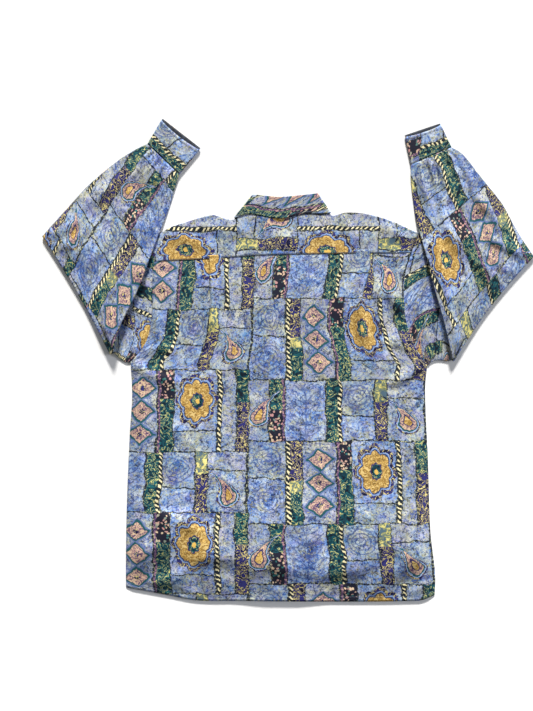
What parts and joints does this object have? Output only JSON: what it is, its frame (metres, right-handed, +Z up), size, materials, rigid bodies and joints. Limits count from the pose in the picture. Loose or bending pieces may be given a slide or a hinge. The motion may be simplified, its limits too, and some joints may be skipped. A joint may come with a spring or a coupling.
{
  "type": "printed shirt",
  "caption": "Long-sleeved printed button-up shirt lying face down, with a fold-down collar, a back yoke, side pleats, and sleeves folded over at the elbow.",
  "frame": {"origin": "on the floor, under the middle of the shirt's outline", "axes": "+X to the right as seen from above, +Y from the hem towards the collar, +Z up from the floor"},
  "size_m": [1.0205, 1.0026, 0.016],
  "materials": {
    "printed_cloth": "soft rayon, plain weave, printed, slight sheen",
    "button": "moulded polyester, satin gloss"
  },
  "bodies": {
    "root": {"back": "printed_cloth", "yoke": "printed_cloth", "front_left": "printed_cloth", "front_right": "printed_cloth", "placket": "printed_cloth", "sleeve_left": "printed_cloth", "sleeve_right": "printed_cloth", "cuff_left": "printed_cloth", "cuff_right": "printed_cloth", "collar_fall": "printed_cloth", "collar_stand": "printed_cloth", "button_1": "button", "button_2": "button", "button_3": "button", "button_4": "button", "button_5": "button", "button_6": "button", "button_7": "button", "button_collar": "button", "button_cuff_left": "button", "button_cuff_right": "button"}
  },
  "joints": []
}
